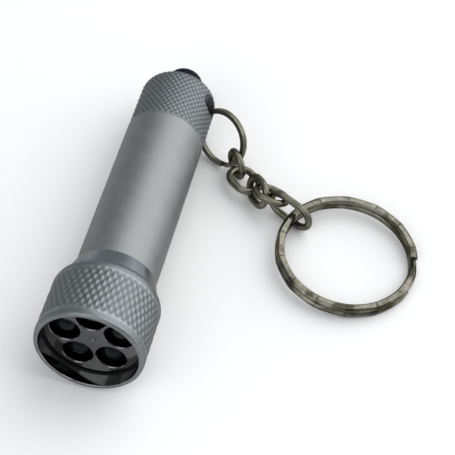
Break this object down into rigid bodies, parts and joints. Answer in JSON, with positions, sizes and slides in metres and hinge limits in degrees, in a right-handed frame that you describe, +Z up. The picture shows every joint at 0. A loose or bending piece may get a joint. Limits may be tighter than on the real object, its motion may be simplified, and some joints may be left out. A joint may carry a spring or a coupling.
{
  "type": "keychain flashlight",
  "caption": "Small keychain flashlight: knurled head with a lamp plate, plain barrel, screwed tail cap with a push button, and a split ring, chain and key ring.",
  "frame": {"origin": "centre of the bounding box on the ground that the flashlight, chain and key ring lie on", "axes": "+Z up, -Y the way the head points, +X the side the chain and key ring lie on"},
  "size_m": [0.0585, 0.0687, 0.019],
  "materials": {
    "anodised": "fine matte anodised, knurled on the cap",
    "polished_head": "machined, knurled, polished neck and mouth",
    "reflector": "mirror plated",
    "black_rubber": "soft sheen",
    "lamp_resin": "clear resin, unlit",
    "chain_steel": "dull nickel plated wire",
    "ring_steel": "nickel plated, stamped facets",
    "spring_steel": "bright spring wire",
    "cell_steel": "nickel plated",
    "cell_seal": "moulded nylon",
    "sleeve_plastic": "thin white tube",
    "switch_plastic": "black moulding",
    "board": "green solder mask",
    "tinned_wire": "tinned",
    "contact_brass": "bare brass"
  },
  "bodies": {
    "barrel_body": {"barrel": "anodised", "head_o_ring": "black_rubber", "battery_sleeve": "sleeve_plastic", "cell_can_1": "cell_steel", "cell_seal_1": "cell_seal", "cell_lid_1": "cell_steel", "cell_can_2": "cell_steel", "cell_seal_2": "cell_seal", "cell_lid_2": "cell_steel", "cell_can_3": "cell_steel", "cell_seal_3": "cell_seal", "cell_lid_3": "cell_steel", "cell_can_4": "cell_steel", "cell_seal_4": "cell_seal", "cell_lid_4": "cell_steel"},
    "lamp_module": {"reflector_plate": "reflector", "led_board": "board", "front_contact_spring": "spring_steel", "led_1": "lamp_resin", "led_2": "lamp_resin", "led_3": "lamp_resin", "led_4": "lamp_resin", "led_5": "lamp_resin", "led_leads_1": "tinned_wire", "led_leads_2": "tinned_wire", "led_leads_3": "tinned_wire", "led_leads_4": "tinned_wire", "led_leads_5": "tinned_wire"},
    "head": {"bezel": "polished_head", "bezel_seal": "black_rubber"},
    "cap_carrier": {"battery_spring": "spring_steel"},
    "cap": {"tail_cap": "anodised", "switch_housing": "switch_plastic", "switch_contact": "contact_brass", "switch_retainer": "spring_steel", "tail_o_ring": "black_rubber", "switch_return_spring": "spring_steel"},
    "button": {"button_boot": "black_rubber", "switch_plunger": "switch_plastic"},
    "small_ring": {"cap_ring": "chain_steel"},
    "link_1": {"chain_link_1": "chain_steel"},
    "link_2": {"chain_link_2": "chain_steel"},
    "link_3": {"chain_link_3": "chain_steel"},
    "link_4": {"chain_link_4": "chain_steel"},
    "last_link": {"end_link": "chain_steel"},
    "big_ring": {"key_ring": "ring_steel"}
  },
  "joints": [
    {"name": "head_advance", "type": "slide", "parent": "barrel_body", "child": "lamp_module", "axis": [0, -0.999, 0.0457], "range_m": [0, 0.00263]},
    {"name": "head_turn", "type": "hinge", "parent": "lamp_module", "child": "head", "pos_m": [-0.02, -0.0206, 0.00918], "axis": [0, -0.999, 0.0457], "range_deg": [0, 1260]},
    {"name": "cap_advance", "type": "slide", "parent": "barrel_body", "child": "cap_carrier", "axis": [0, 0.999, -0.0457], "range_m": [0, 0.00376]},
    {"name": "cap_turn", "type": "hinge", "parent": "cap_carrier", "child": "cap", "pos_m": [-0.02, 0.01736, 0.00744], "axis": [0, 0.999, -0.0457], "range_deg": [0, 1800]},
    {"name": "button_press", "type": "slide", "parent": "cap", "child": "button", "axis": [0, -0.999, 0.0457], "range_m": [0, 0.0012], "stiffness_N_per_m": 1500, "springref_m": -0.0004, "deforming": ["switch_return_spring"]},
    {"name": "small_ring_swing", "type": "hinge", "parent": "cap", "child": "small_ring", "pos_m": [-0.01462, 0.02483, 0.00596], "axis": [0.203, 0.2192, 0.9543], "range_deg": [-10, 25]},
    {"name": "link_1_swing", "type": "hinge", "parent": "small_ring", "child": "link_1", "pos_m": [-0.00639, 0.01927, 0.0048], "axis": [-0.3099, -0.138, -0.9407], "range_deg": [0, 15]},
    {"name": "link_2_swing", "type": "hinge", "parent": "link_1", "child": "link_2", "pos_m": [-0.00724, 0.01993, 0.00093], "axis": [0.5588, -0.6778, -0.4778], "range_deg": [-12, 0]},
    {"name": "link_3_swing", "type": "hinge", "parent": "link_2", "child": "link_3", "pos_m": [-0.00228, 0.01436, 0.00237], "axis": [0.596, 0.795, -0.113], "range_deg": [-40, 40]},
    {"name": "link_4_swing", "type": "hinge", "parent": "link_3", "child": "link_4", "pos_m": [0.00017, 0.01151, 0.00375], "axis": [-0.054, -0.3441, -0.9374], "range_deg": [-25, 0]},
    {"name": "last_link_swing", "type": "hinge", "parent": "link_4", "child": "last_link", "pos_m": [0.0038, 0.01175, 0.00405], "axis": [0.225, 0.8929, -0.39], "range_deg": [0, 20]},
    {"name": "key_ring_swing", "type": "hinge", "parent": "last_link", "child": "big_ring", "pos_m": [0.0061, 0.01046, 0.00265], "axis": [-0.4899, -0.8718, 0.005], "range_deg": [-50, 50]}
  ],
  "couplings": [
    {"joint": "head_advance", "follows": "head_turn", "m_per_rad": 0.00011937},
    {"joint": "cap_advance", "follows": "cap_turn", "m_per_rad": 0.00011937}
  ]
}
